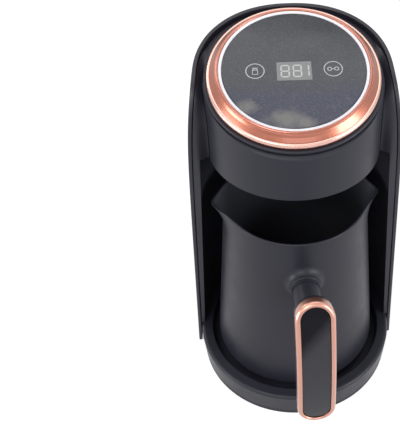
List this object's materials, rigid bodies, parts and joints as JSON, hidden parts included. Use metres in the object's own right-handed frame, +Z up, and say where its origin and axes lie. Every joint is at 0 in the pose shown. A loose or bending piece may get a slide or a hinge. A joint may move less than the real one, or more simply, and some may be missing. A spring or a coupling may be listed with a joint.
{
  "type": "electric turkish coffee maker",
  "caption": "Electric coffee maker with a tapering casing, a tilted round touch face over an open bay, and a cordless pot on a round power coupler.",
  "frame": {"origin": "point of the resting plane on the axis of the pot and its power coupler, within 1 mm of the middle of the floor of the bounding box", "axes": "+Z up, -Y out of the front towards the handle, +X to the viewer's right when facing the front"},
  "size_m": [0.137, 0.2025, 0.2294],
  "materials": {
    "shell_plastic": "satin charcoal",
    "housing_plastic": "satin charcoal",
    "liner_plastic": "fine matte texture",
    "black_rubber": "matte",
    "steel": "zinc plated",
    "rose_gold": "polished rose gold",
    "diffuser": "milky",
    "smoked_glass": "polished",
    "clear_glass": "clear",
    "display_plastic": "lit grey",
    "contact_brass": "plated",
    "green_board": "solder mask",
    "brown_board": "bare laminate",
    "component_plastic": "moulded",
    "relay_plastic": "moulded",
    "bare_aluminium": "bare",
    "red_silicone": "silicone",
    "pot_coating": "satin non-stick coating",
    "white_plastic": "moulded",
    "insert_plastic": "semi-gloss charcoal"
  },
  "bodies": {
    "casing": {"outer_shell": "shell_plastic", "front_housing": "housing_plastic", "bay_liner": "liner_plastic", "base_tray": "housing_plastic", "base_plate": "liner_plastic", "rubber_feet": "black_rubber", "base_screws": "steel", "cord_gland": "black_rubber", "head_cover": "housing_plastic", "head_underside": "liner_plastic", "head_screws": "steel", "trim_ring": "rose_gold", "light_ring": "diffuser", "touch_panel": "smoked_glass", "panel_carrier": "liner_plastic", "display_module": "display_plastic", "touch_springs": "contact_brass", "control_board": "green_board", "control_board_screws": "steel", "buzzer": "component_plastic", "status_leds": "diffuser", "boil_sensor": "component_plastic", "sensor_window": "smoked_glass", "coupler_base": "liner_plastic", "coupler_contacts": "contact_brass", "coupler_screws": "steel", "power_board": "brown_board", "power_board_screws": "steel", "relay": "relay_plastic", "transformer": "component_plastic", "capacitor": "bare_aluminium", "fuse": "clear_glass", "head_harness": "black_rubber", "coupler_harness": "red_silicone"},
    "connector": {"pot_connector": "white_plastic", "pot_contacts": "contact_brass"},
    "pot": {"pot_body": "pot_coating", "pot_base_cover": "liner_plastic", "pot_seal": "red_silicone", "heating_plate": "bare_aluminium", "heating_element": "steel", "temperature_sensor": "steel", "thermal_fuse": "white_plastic", "pot_screws": "steel", "handle_bracket": "housing_plastic", "handle_body": "housing_plastic", "handle_trim": "rose_gold", "handle_insert": "insert_plastic", "handle_screw": "steel"}
  },
  "joints": [
    {"name": "pot_lift", "type": "slide", "parent": "casing", "child": "connector", "axis": [0, 0, 1], "range_m": [0, 0.014]},
    {"name": "pot_turn", "type": "hinge", "parent": "connector", "child": "pot", "pos_m": [0, 0, 0.02], "axis": [0, 0, 1], "range_deg": [-82, 74]}
  ]
}
